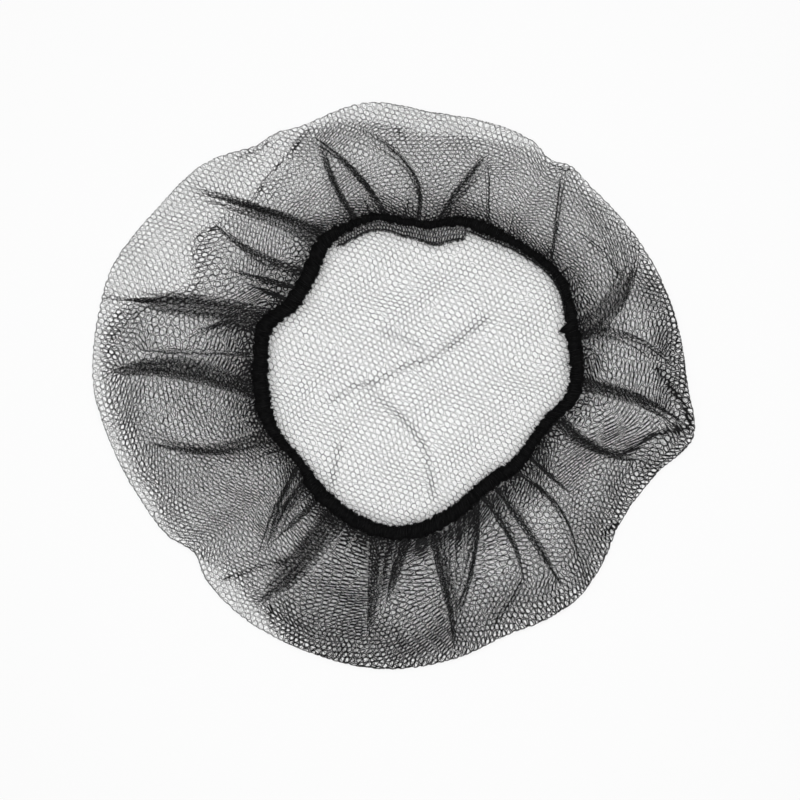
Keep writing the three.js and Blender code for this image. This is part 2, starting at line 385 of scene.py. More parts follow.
def wobble(seed, *places, waves=4):
    """Smooth irregular value of about -1 to 1 at places in wavelengths, the same on every run."""
    rng = np.random.default_rng(seed)
    total = 0.0
    for wave in range(waves):
        phase = rng.uniform(0, 2 * math.pi)
        turns = rng.uniform(-1, 1, len(places))
        turns *= (1 + 0.6 * wave) / np.linalg.norm(turns)
        total = total + np.sin(phase + 2 * math.pi * sum(t * p for t, p in zip(turns, places)))
    return total / waves


def polar(deg, radius, centre=(0.0, 0.0)):
    """Plan coordinates of an angle and radius about a centre."""
    turn = np.radians(deg)
    return centre[0] + radius * np.cos(turn), centre[1] + radius * np.sin(turn)


def hem_middle(deg):
    """Radius of the middle of the bunched hem, which crowds into the mouth."""
    return around(HEM, HEM_RADIUS, deg) - HEM_CROWD


def hem_half(deg):
    """Half of the width of the hem, which its elastic pulls tighter than the solid."""
    return around(HEM, HEM_WIDTH, deg) * HEM_TIGHT / 2


def hem_height(deg):
    """Height of the middle of the hem, which waves a little round the mouth."""
    return HEM_HEIGHT + HEM_WAVE * np.sin(np.radians(HEM_WAVES_ROUND * deg))


def flatness(deg):
    """Share of the skin that lies flat inside the rim."""
    return around(OUTLINE, OUTLINE_FLAT, deg)


def rim_roll(deg, settings):
    """Radius of the rolled rim, pressed flatter than the solid's wall."""
    return around(OUTLINE, OUTLINE_ROLL, deg) * settings.rim_press


def skin_point(deg, share, settings):
    """Point of the gathered skin between the top of the rolled rim (0) and the hem (1)."""
    roll = rim_roll(deg, settings)
    rim_x, rim_y = polar(deg, around(OUTLINE, OUTLINE_RADIUS, deg) - roll)
    tucked = hem_middle(deg) + hem_half(deg) - settings.hem_tuck / MM
    hem_x, hem_y = polar(deg, tucked, MOUTH_CENTRE)
    flat = flatness(deg)
    lifted = np.clip((share - flat) / (1 - flat), 0, 1)
    low = 2 * roll + settings.strand_width / MM
    height = low + (hem_height(deg) - low) * smooth(lifted) + NET_PUFF * np.sin(math.pi * lifted)
    return rim_x + (hem_x - rim_x) * share, rim_y + (hem_y - rim_y) * share, height


def pleats():
    """The pleats of every fold: angle at the hem and at the tip, bow, tip share, width, lean and how
    thickly their yarn is bunched, which is more in a narrow fold."""
    rows = []
    rng = np.random.default_rng(29)
    for hem_deg, tip_deg, bow, tip, rise, lean, plies, spread in FOLDS:
        bunched = 1 + FOLD_BUNCH * math.exp(-spread / FOLD_LOOSE_DEG)
        for ply in range(plies):
            aside = ply / (plies - 1) - 0.5
            lee = LEE_STAGGER if aside * lean > 0 else 1.0
            later = tip + PLEAT_STAGGER * abs(aside) * plies * lee
            later = min(LAST_TIP, later + rng.uniform(0, TIP_STRAY))
            stray, bent = rng.normal(0, LINE_STRAY * spread, 2)
            hem, end = hem_deg + spread * aside, tip_deg + TIP_SPREAD * spread * aside + stray
            thinner = rise * (1 - SIDE_THIN * abs(aside))
            rows.append((hem, end, bow + bent, later, thinner, math.radians(lean), bunched))
    taken = np.array([row[0] for row in rows])
    places = np.arange(SMALL_PLEATS) + rng.uniform(-SMALL_STRAY, SMALL_STRAY, SMALL_PLEATS)
    for deg in places * 360 / SMALL_PLEATS:
        tip, rise, lean, slant = rng.uniform((0.7, 1.4, 20, -1.5), (0.88, 2.8, 55, 1.5))
        if np.abs(np.mod(taken - deg + 180, 360) - 180).min() > SMALL_APART_DEG:
            side = rng.choice((-1, 1))
            rows.append((deg, deg + slant, 0.0, tip, rise, math.radians(lean * side), 1.0))
    return rows


def pleat_states(rows, share, mm_per_deg):
    """Foot's angle, width, lean and bunching of the pleats begun at one share of the skin, in order."""
    states = []
    for hem_deg, tip_deg, bow, tip, rise, lean, bunched in rows:
        run = (share - tip) / (1 - tip)
        if run > 0:
            angle = tip_deg + (hem_deg - tip_deg) * run + bow * 4 * run * (1 - run)
            width = FOLD_DEPTH * rise * math.sin(math.pi * FOLD_SWELL * run**FOLD_SKEW)
            foot = angle - 0.5 * width * math.sin(lean) / mm_per_deg
            states.append((foot % 360, width, lean, bunched))
    return sorted(states)


def puckers(deg, share, height):
    """Lift of the soft puckers that take up the slack between folds, the same after a whole turn."""
    total = 0.0
    for wave, (turns, drift) in enumerate(PUCKER_WAVES):
        phase = 2 * math.pi * (drift * share + PUCKER_STEP * wave)
        total = total + np.sin(np.radians(turns * deg) + phase)
    return height * total / math.sqrt(len(PUCKER_WAVES))


def evened(plan, cloth):
    """Cloth angles of a section after the net has crept round to where few folds take it up."""
    front = np.maximum.accumulate(plan)
    degs = np.arange(0.0, 360.0, 1.0)
    drift = np.interp(degs, front - front[0], plan - cloth)
    waves = np.fft.rfft(drift)
    spread = np.radians(EVEN_SPREAD) * np.arange(len(waves))
    broad = np.fft.irfft(waves * np.exp(-0.5 * spread**2), len(degs))
    crept = np.interp(front - front[0], degs, broad - broad.mean(), period=360)
    return np.maximum.accumulate(cloth + EVEN_SHARE * crept)


def skin_section(share, rows, settings):
    """Shift and lift of the skin, and how far it is folded and bunched, for every step of cloth.

    Cloth is shared out along the true length of the section, so a fold takes up the cloth it holds."""
    reach = float(np.mean(np.hypot(*skin_point(np.arange(0.0, 360.0, 10.0), share, settings)[:2])))
    mm_per_deg = math.radians(1) * reach
    states = pleat_states(rows, share, mm_per_deg)
    across = np.linspace(-1, 1, FOLD_SAMPLES)
    runs = []
    for index, (angle, rise, lean, bunched) in enumerate(states):
        after = states[(index + 1) % len(states)][0] + (360 if index + 1 == len(states) else 0)
        before = states[index - 1][0] - (360 if index == 0 else 0)
        foot = min(FOLD_FOOT, FOOT_SHARE * mm_per_deg * min(angle - before, after - angle))
        rounded = rise * (1 - np.sqrt(across**2 + FOLD_ROUND**2)) / (1 - FOLD_ROUND)
        rounded = np.maximum(rounded - rounded[0], 0)
        sideways = (foot * across + math.sin(lean) * rounded) / mm_per_deg
        held = np.full(FOLD_SAMPLES, min(1.0, rise))
        runs.append((angle + sideways, math.cos(lean) * rounded, 0 * held, held, bunched * held))
        degs = np.linspace(angle + foot / mm_per_deg, after - foot / mm_per_deg, GAP_SAMPLES)
        edge = np.minimum(degs - degs[0], degs[-1] - degs) * mm_per_deg
        runs.append((degs, 0 * degs, ramp(edge, 0, PUCKER_EASE), 0 * degs, 0 * degs))
    if not states:
        degs = np.arange(0.0, 360.0, 0.25)
        runs.append((degs, 0 * degs, np.ones(len(degs)), 0 * degs, 0 * degs))
    plan, lift, loose, folded, thick = (np.concatenate(column) for column in zip(*runs))
    plan = np.append(plan, plan[0] + 360)
    lift, loose = np.append(lift, lift[0]), np.append(loose, loose[0])

    length = np.sum(np.hypot(np.diff(plan) * mm_per_deg, np.diff(lift)))
    slack = 2 * math.pi * settings.cut_radius_at(share) / length
    slope = math.sqrt(max(0.0, 2 * (slack**2 - 1))) * settings.pucker_share
    wave_mm = 2 * math.pi * reach / float(np.mean([turns for turns, _ in PUCKER_WAVES]))
    height = min(slope, STEEPEST_PUCKER) * wave_mm / (2 * math.pi)
    lift = lift + loose * puckers(plan, share, height)

    steps = np.hypot(np.diff(plan) * mm_per_deg, np.diff(lift))
    cloth = np.concatenate(([0.0], np.cumsum(steps + 1e-6)))
    cloth = evened(plan, cloth / cloth[-1] * 360)
    shift = plan - cloth
    centre = float(np.sum(0.5 * (shift[1:] + shift[:-1]) * np.diff(cloth)) / 360)
    cloth, shift = cloth + centre, shift - centre
    steps = np.arange(MATERIAL_STEPS) * 360.0 / MATERIAL_STEPS
    values = (shift[:-1], lift[:-1], folded, thick)
    return [np.interp(steps, cloth[:-1], value, period=360) for value in values]


def draw_in(points, creases):
    """Draws net in towards creases and lifts it there into a low ridge; also says how near one is."""
    pull, lift, near = np.zeros((len(points), 2)), np.zeros(len(points)), np.zeros(len(points))
    for line, strength, width in creases:
        nearest = np.full(len(points), np.inf)
        away = np.zeros((len(points), 2))
        for start, end in zip(np.array(line[:-1], float), np.array(line[1:], float)):
            run = end - start
            along = np.clip((points[:, :2] - start) @ run / (run @ run), 0, 1)
            off = points[:, :2] - start - along[:, None] * run
            distance = np.hypot(*off.T)
            nearer = distance < nearest
            nearest[nearer], away[nearer] = distance[nearer], off[nearer]
        broken = 0.75 + 0.5 * wobble(71, points[:, 0] / 11, points[:, 1] / 11)
        draw = strength * broken * np.exp(-(nearest / width) ** 2)
        pull -= away * draw[:, None] * CREASE_PULL
        lift += CREASE_RIDGE * width * draw * np.exp(-(nearest / width) ** 2)
        near = np.maximum(near, draw)
    moved = points.copy()
    moved[:, :2] += pull
    moved[:, 2] += lift
    return moved, near


def caught(inside, reach):
    """Distances in from the rim after the rolled edge has caught the threads within its reach."""
    near = np.clip(inside, 0, reach)
    return np.where(inside < reach, near * near / reach, inside)


class Draping:
    """Maps a point of the flat round cut to its place on the lying net."""

    def __init__(self, settings):
        self.settings = settings
        self.shares = np.linspace(0, 1, SKIN_LEVELS)
        rows = pleats()
        sections = [skin_section(share, rows, settings) for share in self.shares]
        self.shift, self.lift, self.folded, self.thick = (np.array(grid) for grid in zip(*sections))

    def read(self, grid, deg, share):
        """Value of a grid of sections at a cloth angle and share, straight between its entries."""
        level = np.clip(share, 0, 1) * (SKIN_LEVELS - 1)
        step = np.mod(deg, 360) / 360 * MATERIAL_STEPS
        row = np.minimum(level.astype(int), SKIN_LEVELS - 2)
        column = step.astype(int) % MATERIAL_STEPS
        beside = (column + 1) % MATERIAL_STEPS
        down, along = level - row, step - np.floor(step)
        upper = grid[row, column] * (1 - along) + grid[row, beside] * along
        lower = grid[row + 1, column] * (1 - along) + grid[row + 1, beside] * along
        return upper * (1 - down) + lower * down

    def zones(self, deg):
        """Cut radius where the crown ends and where the gathered skin begins."""
        roll = rim_roll(deg, self.settings)
        crown = around(OUTLINE, OUTLINE_RADIUS, deg) - roll
        return crown, crown + math.pi * roll

    def wrinkles(self, deg, share, spare, x, y):
        """Lift of the wrinkles that take up spare net between the rim and the hem."""
        settings = self.settings
        outer, inner = skin_point(deg, 0.0, settings), skin_point(deg, 1.0, settings)
        ray = np.hypot(outer[0] - inner[0], outer[1] - inner[1])
        steep = np.sqrt(np.maximum(2 * ((spare / ray) ** 2 - 1), 0))
        slope = np.minimum(steep, STEEPEST_WRINKLE) * settings.wrinkle_share
        length = settings.wrinkle_length / MM
        phase = 2 * math.pi * (share * ray / length + WRINKLE_DRIFT * wobble(61, x / 45, y / 45))
        patchy = 0.75 + 0.4 * wobble(62, x / 26, y / 26)
        patchy = patchy * ramp(share, *WRINKLE_FROM_RIM) * ramp(share, *WRINKLE_TO_HEM)
        return slope * length / (2 * math.pi) * patchy * np.sin(phase)

    def crown_place(self, x, y, radius, crown):
        """Lying position of points of the crown, and how near a crease they are."""
        settings = self.settings
        relief = settings.crown_relief / MM * (1 + wobble(7, x / 42, y / 42, waves=6))
        flat = np.column_stack([x, y, settings.thread_half() + relief])
        points, creased = draw_in(flat, CROWN_CREASES)
        drawn = crown - caught(crown - radius, settings.rim_catch / MM)
        points[:, :2] *= (drawn / np.maximum(radius, 1e-6))[:, None]
        return points, creased

    def rim_place(self, radius, deg, crown):
        """Lying position of points of the rolled rim."""
        roll = rim_roll(deg, self.settings)
        turn = np.clip((radius - crown) / (math.pi * roll), 0, 1) * math.pi
        height = self.settings.thread_half() + roll * (1 - np.cos(turn))
        return np.column_stack([*polar(deg, crown + roll * np.sin(turn)), height])

    def skin_place(self, cloth, share, spare):
        """Lying position of points of the gathered skin, and the thickness of their thread."""
        settings = self.settings
        share = caught(share, settings.rim_catch / settings.rim_reach)
        draw = settings.hem_draw + settings.flat_draw * flatness(cloth)
        share = share * (1 + draw * (1 - share))
        plan = cloth + self.read(self.shift, cloth, share)
        x, y, height = skin_point(plan, share, settings)
        billow = settings.billow / MM * wobble(11, x / 34, y / 34, waves=6) * np.sin(math.pi * share)
        lift = self.read(self.lift, cloth, share) + billow + self.wrinkles(plan, share, spare, x, y)
        height = height + ramp(share - flatness(plan), *LIFT_SPAN) * lift
        height = np.maximum(height, 3 * settings.thread_half())
        points, drawn = draw_in(np.column_stack([x, y, height]), SKIN_CREASES)
        return points, self.skin_thread(cloth, plan, share, drawn)

    def skin_thread(self, cloth, plan, share, drawn):
        """Thickness of the skin's thread: fine where it lies taut, sprung open where it is slack."""
        settings = self.settings
        folded = self.read(self.folded, cloth, share)
        opened = ramp(share - flatness(plan), *TAUT_TO_SLACK)
        opened = np.maximum(opened, np.maximum(folded, drawn))
        sprung = around(YARN_BULK, 1, plan) * (1 - folded)
        sprung = sprung + settings.fold_bulk * self.read(self.thick, cloth, share)
        towards_hem = HEM_BULK * ramp(share, HEM_BULK_FROM, 1) * (1 - FOLD_SPARED * folded)
        slack = settings.slack_width * sprung * (1 + towards_hem)
        slack = slack * (1 + HEM_GATHER * ramp(share, HEM_GATHER_FROM, 1))
        width = settings.taut_width + (slack - settings.taut_width) * opened
        width = width * (1 + settings.crease_bulk * drawn**2)
        fullest = np.maximum(np.cos(np.radians(cloth - RIM_FULL_DEG)), 0)
        fullest = (RIM_LEAST + (1 - RIM_LEAST) * fullest) * ramp(flatness(cloth), *FULL_SIDE)
        return width * (1 + RIM_BULK * fullest * ramp(share, *RIM_BULK_SPAN))

    def place(self, x, y):
        """Lying position of flat points, in metres, and the thickness of their thread over the crown's."""
        settings = self.settings
        radius, deg = np.hypot(x, y), np.degrees(np.arctan2(y, x))
        crown, skin = self.zones(deg)
        points, creased = self.crown_place(x, y, radius, crown)
        on_roll = radius > crown
        points[on_roll] = self.rim_place(radius, deg, crown)[on_roll]
        near_rim = ramp(radius - crown, -settings.full_rim / MM, 0)
        springs = RIM_SPRING * ramp(flatness(deg), *FULL_SIDE) * near_rim
        rim_bulk = settings.slack_width * around(YARN_BULK, 1, deg) / settings.strand_width
        bulk = 1 + (rim_bulk - 1) * springs + CROWN_CREASE_BULK * creased**2

        on_skin = radius > skin
        spare = (settings.cut_reach(deg) - skin)[on_skin]
        share = np.clip((radius - skin)[on_skin] / spare, 0, 1)
        points[on_skin], width = self.skin_place(deg[on_skin], share, spare)
        bulk[on_skin] = width / settings.strand_width
        return points * MM, bulk


class HemForm:
    """Surface of the bunched hem, by angle round the mouth and turn round the band."""

    def __init__(self, settings):
        self.settings = settings
        self.degs = np.arange(0.0, 360.01, 0.25)
        x, y = polar(self.degs, around(HEM, HEM_RADIUS, self.degs), MOUTH_CENTRE)
        self.run = np.concatenate(([0.0], np.cumsum(np.hypot(np.diff(x), np.diff(y)))))
        self.length = float(self.run[-1])

    def evenly(self, count):
        """Angles of points evenly spaced along the hem."""
        return np.interp(np.arange(count) / count * self.length, self.run, self.degs)

    def place(self, deg, turn, proud=0.0):
        """Point of the hem's surface; turn 0 faces out of the mouth, a quarter turn faces up."""
        settings = self.settings
        middle = hem_middle(deg)
        x, y = polar(deg, middle, MOUTH_CENTRE)
        gathers = round(self.length / (settings.gather_pitch / MM))
        phase = gathers * 2 * math.pi * np.interp(deg, self.degs, self.run) / self.length
        phase = phase + GATHER_WANDER * wobble(31, x / 26, y / 26)
        phase = phase + GATHER_TWIST * np.sin(turn + 4 * wobble(32, x / 40, y / 40))
        ridge = np.abs(np.sin(phase / 2)) ** RIDGE_SHARP - RIDGE_MEAN
        depth = settings.gather_depth / MM * (0.75 + 0.5 * wobble(33, x / 15, y / 15))
        lump = settings.lump / MM * wobble(34, x / 9, y / 9, turn / 3, waves=6)
        out = depth * ridge + lump + proud
        broad = np.sign(np.cos(turn)) * np.abs(np.cos(turn)) ** BAND_SQUARE
        tall = np.sign(np.sin(turn)) * np.abs(np.sin(turn)) ** BAND_SQUARE
        swell = np.exp(-((deg - HEM_JOINT_DEG) / JOINT_HALF_DEG) ** 2) * (broad < 0)
        joint = settings.joint / MM * swell
        radius = middle + (hem_half(deg) + out + joint) * broad
        x, y = polar(deg, radius, MOUTH_CENTRE)
        return np.column_stack([x, y, hem_height(deg) + (settings.thickness / MM / 2 + out) * tall]) * MM

    def winding(self, turns, start, count, proud):
        """Path of a thread wound round the hem."""
        deg = self.evenly(count)
        there = np.radians(deg)
        stray = THREAD_STRAY * wobble(41 + abs(turns), np.cos(there) * 3, np.sin(there) * 3)
        turn = start + stray + 2 * math.pi * turns * np.arange(count) / count
        return self.place(deg, turn, proud)


def net_cells(cut_radius, settings):
    """Middles of the six-sided cells whose loops lie inside a round cut, with the rows along X."""
    pitch = settings.cell_pitch / MM
    count = int(cut_radius / (pitch * 0.8)) + 3
    column, row = np.meshgrid(np.arange(-count, count + 1), np.arange(-count, count + 1))
    x = pitch * settings.along_rows * (column + row / 2).ravel()
    y = pitch * settings.across_rows * (row * math.sqrt(3) / 2).ravel()
    return np.column_stack([x, y])[np.hypot(x, y) <= cut_radius - pitch / 2]


def cell_loops(cells, settings, seed):
    """Knitted loop round each cell: seven points, the last on the first, with uneven corners.

    The loops of neighbouring cells run side by side, so a strand of the net is a pair of threads."""
    reach = (settings.cell_pitch - settings.strand_gap) / MM / math.sqrt(3)
    turns = np.radians(30 + 60 * np.arange(7))
    corners = reach * np.column_stack([np.cos(turns), np.sin(turns)])
    corners = corners * (settings.along_rows, settings.across_rows)
    jitter = np.random.default_rng(seed).normal(0, settings.cell_slack / MM, (len(cells), 6, 2))
    jitter = np.concatenate([jitter, jitter[:, :1]], axis=1)
    return cells[:, None, :] + corners + jitter


def laid(points, settings):
    """Flat points of the net turned and moved to where the cut lies."""
    cos, sin = math.cos(settings.row_turn), math.sin(settings.row_turn)
    return points @ np.array([[cos, sin], [-sin, cos]]) + settings.cut_centre()


def eased(loops, ease):
    """Loops after the net has eased out of square here and there."""
    x, y = loops[..., 0] / EASE_SPAN, loops[..., 1] / EASE_SPAN
    return loops + ease * np.stack([wobble(21, x, y, waves=5), wobble(22, x, y, waves=5)], axis=-1)


def loop_edges(count):
    """Edges of open seven-point loops stored one after another."""
    first = np.arange(count)[:, None] * 7 + np.arange(6)
    return np.stack([first, first + 1], axis=2).reshape(-1, 2)


def linear(code):
    """Linear colour of an sRGB hex value."""
    parts = [int(code[place:place + 2], 16) / 255 for place in (1, 3, 5)]
    return [c / 12.92 if c <= 0.04045 else ((c + 0.055) / 1.055) ** 2.4 for c in parts] + [1.0]


def node(tree, kind, inputs=None, **settings):
    """Adds a node with its settings, and sets or links its inputs."""
    made = tree.nodes.new(kind)
    for name, value in settings.items():
        setattr(made, name, value)
    for key, value in (inputs or {}).items():
        if isinstance(value, bpy.types.NodeSocket):
            tree.links.new(value, made.inputs[key])
        else:
            made.inputs[key].default_value = value
    return made


def mottled_material(name, dark, light, blotch_mm, rough, grain_mm, grain_depth_mm, sheen, shine):
    """Cloth material: two close colours in soft blotches, uneven roughness and a fine grain.

    The grain is coarser than the filaments of real yarn, so that it shows."""
    material = bpy.data.materials.new(name)
    material.use_nodes = True
    tree = material.node_tree
    tree.nodes.clear()
    place = node(tree, "ShaderNodeTexCoord").outputs["Object"]
    blotch = node(tree, "ShaderNodeTexNoise", {
        "Vector": place, "Scale": 1 / (blotch_mm * MM), "Detail": 3.0, "Roughness": 0.6})
    colour = node(tree, "ShaderNodeMix", {
        "Factor": blotch.outputs["Fac"], "A": linear(dark), "B": linear(light)}, data_type="RGBA")
    grain = node(tree, "ShaderNodeTexNoise", {
        "Vector": place, "Scale": 1 / (grain_mm * MM), "Detail": 2.0, "Roughness": 0.5})
    roughness = node(tree, "ShaderNodeMapRange", {
        "Value": grain.outputs["Fac"], "To Min": rough - 0.1, "To Max": rough + 0.1})
    bump = node(tree, "ShaderNodeBump", {
        "Height": grain.outputs["Fac"], "Strength": 0.6, "Distance": grain_depth_mm * MM})
    shader = node(tree, "ShaderNodeBsdfPrincipled", {
        "Base Color": colour.outputs["Result"], "Roughness": roughness.outputs["Result"],
        "Normal": bump.outputs["Normal"], "IOR": 1.53, "Specular IOR Level": shine, "Sheen Weight": sheen,
        "Sheen Roughness": 0.45})
    node(tree, "ShaderNodeOutputMaterial", {"Surface": shader.outputs["BSDF"]})
    return material


def knitted_nylon(settings):
    """Black nylon yarn knitted into net: matt, with a soft sheen along each bundle of filaments."""
    return mottled_material(
        "knitted_nylon_net", settings.yarn_dark, settings.yarn_light, blotch_mm=30, rough=0.55,
        grain_mm=0.35, grain_depth_mm=0.03, sheen=0.04, shine=0.22)


def bunched_cloth(settings):
    """The same nylon bunched on rubber: deeper black, with cloth grain in the gathers."""
    return mottled_material(
        "bunched_nylon_hem", settings.cloth_dark, settings.cloth_light, blotch_mm=6, rough=0.7,
        grain_mm=0.6, grain_depth_mm=0.12, sheen=0.015, shine=0.055)


def binding_polyester(settings):
    """Spun polyester sewing thread: a little smoother than the net, with a dull shine."""
    return mottled_material(
        "binding_polyester_thread", settings.thread_dark, settings.thread_light, blotch_mm=12, rough=0.45,
        grain_mm=0.3, grain_depth_mm=0.03, sheen=0.015, shine=0.08)


def new_tree(name, sockets):
    """Empty node tree with these named inputs and one geometry output; also gives the inputs' ends."""
    tree = bpy.data.node_groups.new(name, "GeometryNodeTree")
    for label, kind, default in sockets:
        socket = tree.interface.new_socket(label, in_out="INPUT", socket_type=kind)
        if default is not None:
            socket.default_value = default
    tree.interface.new_socket("Geometry", in_out="OUTPUT", socket_type="NodeSocketGeometry")
    return tree, node(tree, "NodeGroupInput").outputs


def end_tree(tree, geometry, material):
    """Ends a node tree with plain, smooth geometry in its material."""
    real = node(tree, "GeometryNodeRealizeInstances", {"Geometry": geometry})
    soft = node(tree, "GeometryNodeSetShadeSmooth", {"Geometry": real.outputs["Geometry"]})
    dressed = node(tree, "GeometryNodeSetMaterial", {
        "Geometry": soft.outputs["Geometry"], "Material": material})
    node(tree, "NodeGroupOutput", {"Geometry": dressed.outputs["Geometry"]})
    return tree


def strand_tree():
    """Geometry nodes that turn every edge of a wire mesh into a round strand."""
    tree, given = new_tree("strands_on_wire", (
        ("Wire", "NodeSocketGeometry", None),
        ("Strand Width", "NodeSocketFloat", 0.0005),
        ("Sides", "NodeSocketInt", 3),
        ("Material", "NodeSocketMaterial", None),
    ))
    curve = node(tree, "GeometryNodeMeshToCurve", {"Mesh": given["Wire"]})
    radius = node(tree, "ShaderNodeMath", {0: given["Strand Width"], 1: 0.5}, operation="MULTIPLY")
    ring = node(tree, "GeometryNodeCurvePrimitiveCircle", {
        "Resolution": given["Sides"], "Radius": radius.outputs[0]})
    bulk = node(tree, "GeometryNodeInputNamedAttribute", {"Name": "bulk"}, data_type="FLOAT")
    tube = node(tree, "GeometryNodeCurveToMesh", {
        "Curve": curve.outputs["Curve"], "Profile Curve": ring.outputs["Curve"],
        "Scale": bulk.outputs["Attribute"]})
    plain = node(tree, "GeometryNodeRemoveAttribute", {"Geometry": tube.outputs["Mesh"], "Name": "bulk"})
    return end_tree(tree, plain.outputs["Geometry"], given["Material"])


def frill_tree():
    """Geometry nodes that stand small thread loops along a closed path, turned out to its side."""
    tree, given = new_tree("loops_along_edge", (
        ("Path", "NodeSocketGeometry", None),
        ("Spacing", "NodeSocketFloat", 0.002),
        ("Reach", "NodeSocketFloat", 0.0015),
        ("Thread Width", "NodeSocketFloat", 0.0003),
        ("Seed", "NodeSocketInt", 1),
        ("Material", "NodeSocketMaterial", None),
    ))
    curve = node(tree, "GeometryNodeMeshToCurve", {"Mesh": given["Path"]})
    level = node(tree, "GeometryNodeSetCurveNormal", {"Curve": curve.outputs["Curve"]}, mode="Z_UP")
    spots = node(tree, "GeometryNodeCurveToPoints", {
        "Curve": level.outputs["Curve"], "Length": given["Spacing"]}, mode="LENGTH")
    arc = node(tree, "GeometryNodeCurveArc", {
        "Resolution": 7, "Radius": given["Reach"], "Start Angle": math.radians(-25),
        "Sweep Angle": math.radians(230)}, mode="RADIUS")
    radius = node(tree, "ShaderNodeMath", {0: given["Thread Width"], 1: 0.5}, operation="MULTIPLY")
    ring = node(tree, "GeometryNodeCurvePrimitiveCircle", {"Resolution": 3, "Radius": radius.outputs[0]})
    loop = node(tree, "GeometryNodeCurveToMesh", {
        "Curve": arc.outputs["Curve"], "Profile Curve": ring.outputs["Curve"]})
    upright = Matrix(((0, 1, 0), (0, 0, 1), (1, 0, 0))).to_euler()
    raised = node(tree, "GeometryNodeTransform", {"Geometry": loop.outputs["Mesh"], "Rotation": upright})
    tilt = node(tree, "FunctionNodeRandomValue", {
        "Min": (-0.5, -0.5, -0.7), "Max": (0.5, 0.5, 0.7), "Seed": given["Seed"]}, data_type="FLOAT_VECTOR")
    uneven = node(tree, "FunctionNodeRandomValue", {
        "Min": (0.5, 0.4, 0.5), "Max": (1.1, 1.3, 1.2), "Seed": given["Seed"]}, data_type="FLOAT_VECTOR")
    turned = node(tree, "FunctionNodeRotateRotation", {
        "Rotation": spots.outputs["Rotation"], "Rotate By": tilt.outputs["Value"]}, rotation_space="LOCAL")
    stood = node(tree, "GeometryNodeInstanceOnPoints", {
        "Points": spots.outputs["Points"], "Instance": raised.outputs["Geometry"],
        "Rotation": turned.outputs["Rotation"], "Scale": uneven.outputs["Value"]})
    return end_tree(tree, stood.outputs["Instances"], given["Material"])


def plain_object(name, mesh):
    """Object at the origin that shows a mesh."""
    made = bpy.data.objects.new(name, mesh)
    bpy.context.scene.collection.objects.link(made)
    return made


def wire_object(name, points, edges):
    """Object of points joined by bare edges."""
    mesh = bpy.data.meshes.new(name)
    mesh.from_pydata([tuple(point) for point in points], edges.tolist(), [])
    return plain_object(name, mesh)


def made_by_nodes(made, tree, inputs):
    """Runs a node tree on an object, its named inputs set, and leaves the result there as a plain mesh."""
    modifier = made.modifiers.new(tree.name, "NODES")
    modifier.node_group = tree
    for socket in tree.interface.items_tree:
        if socket.in_out == "INPUT" and socket.name in inputs:
            modifier[socket.identifier] = inputs[socket.name]
    evaluated = made.evaluated_get(bpy.context.evaluated_depsgraph_get())
    mesh = bpy.data.meshes.new_from_object(evaluated)
    made.modifiers.remove(modifier)
    wire, made.data = made.data, mesh
    bpy.data.meshes.remove(wire)
    mesh.name = made.name
    return made


def knit(name, points, edges, width, sides, material, bulk=1.0):
    """Makes strands on a wire mesh, each point as thick as its bulk makes the width."""
    made = wire_object(name, points, edges)
    thickness = made.data.attributes.new("bulk", "FLOAT", "POINT")
    thickness.data.foreach_set("value", np.full(len(points), bulk, dtype=np.float32))
    tree = bpy.data.node_groups.get("strands_on_wire") or strand_tree()
    return made_by_nodes(made, tree, {"Strand Width": width, "Sides": sides, "Material": material})


def fringe(name, points, edges, spacing, reach, width, seed, material):
    """Stands small thread loops along a path of points."""
    tree = bpy.data.node_groups.get("loops_along_edge") or frill_tree()
    return made_by_nodes(wire_object(name, points, edges), tree, {
        "Spacing": spacing, "Reach": reach, "Thread Width": width, "Seed": seed, "Material": material})


def closed_path(count):
    """Edges of one closed run of points."""
    first = np.arange(count)
    return np.column_stack([first, (first + 1) % count])


def finish_piece(piece, slot, *nodes):
    """Rides a finished piece on the net's body and hides the solids that it stands for; its slot is not
    used.
    """
    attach(piece, BODY)
    if nodes:
        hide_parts(*nodes)


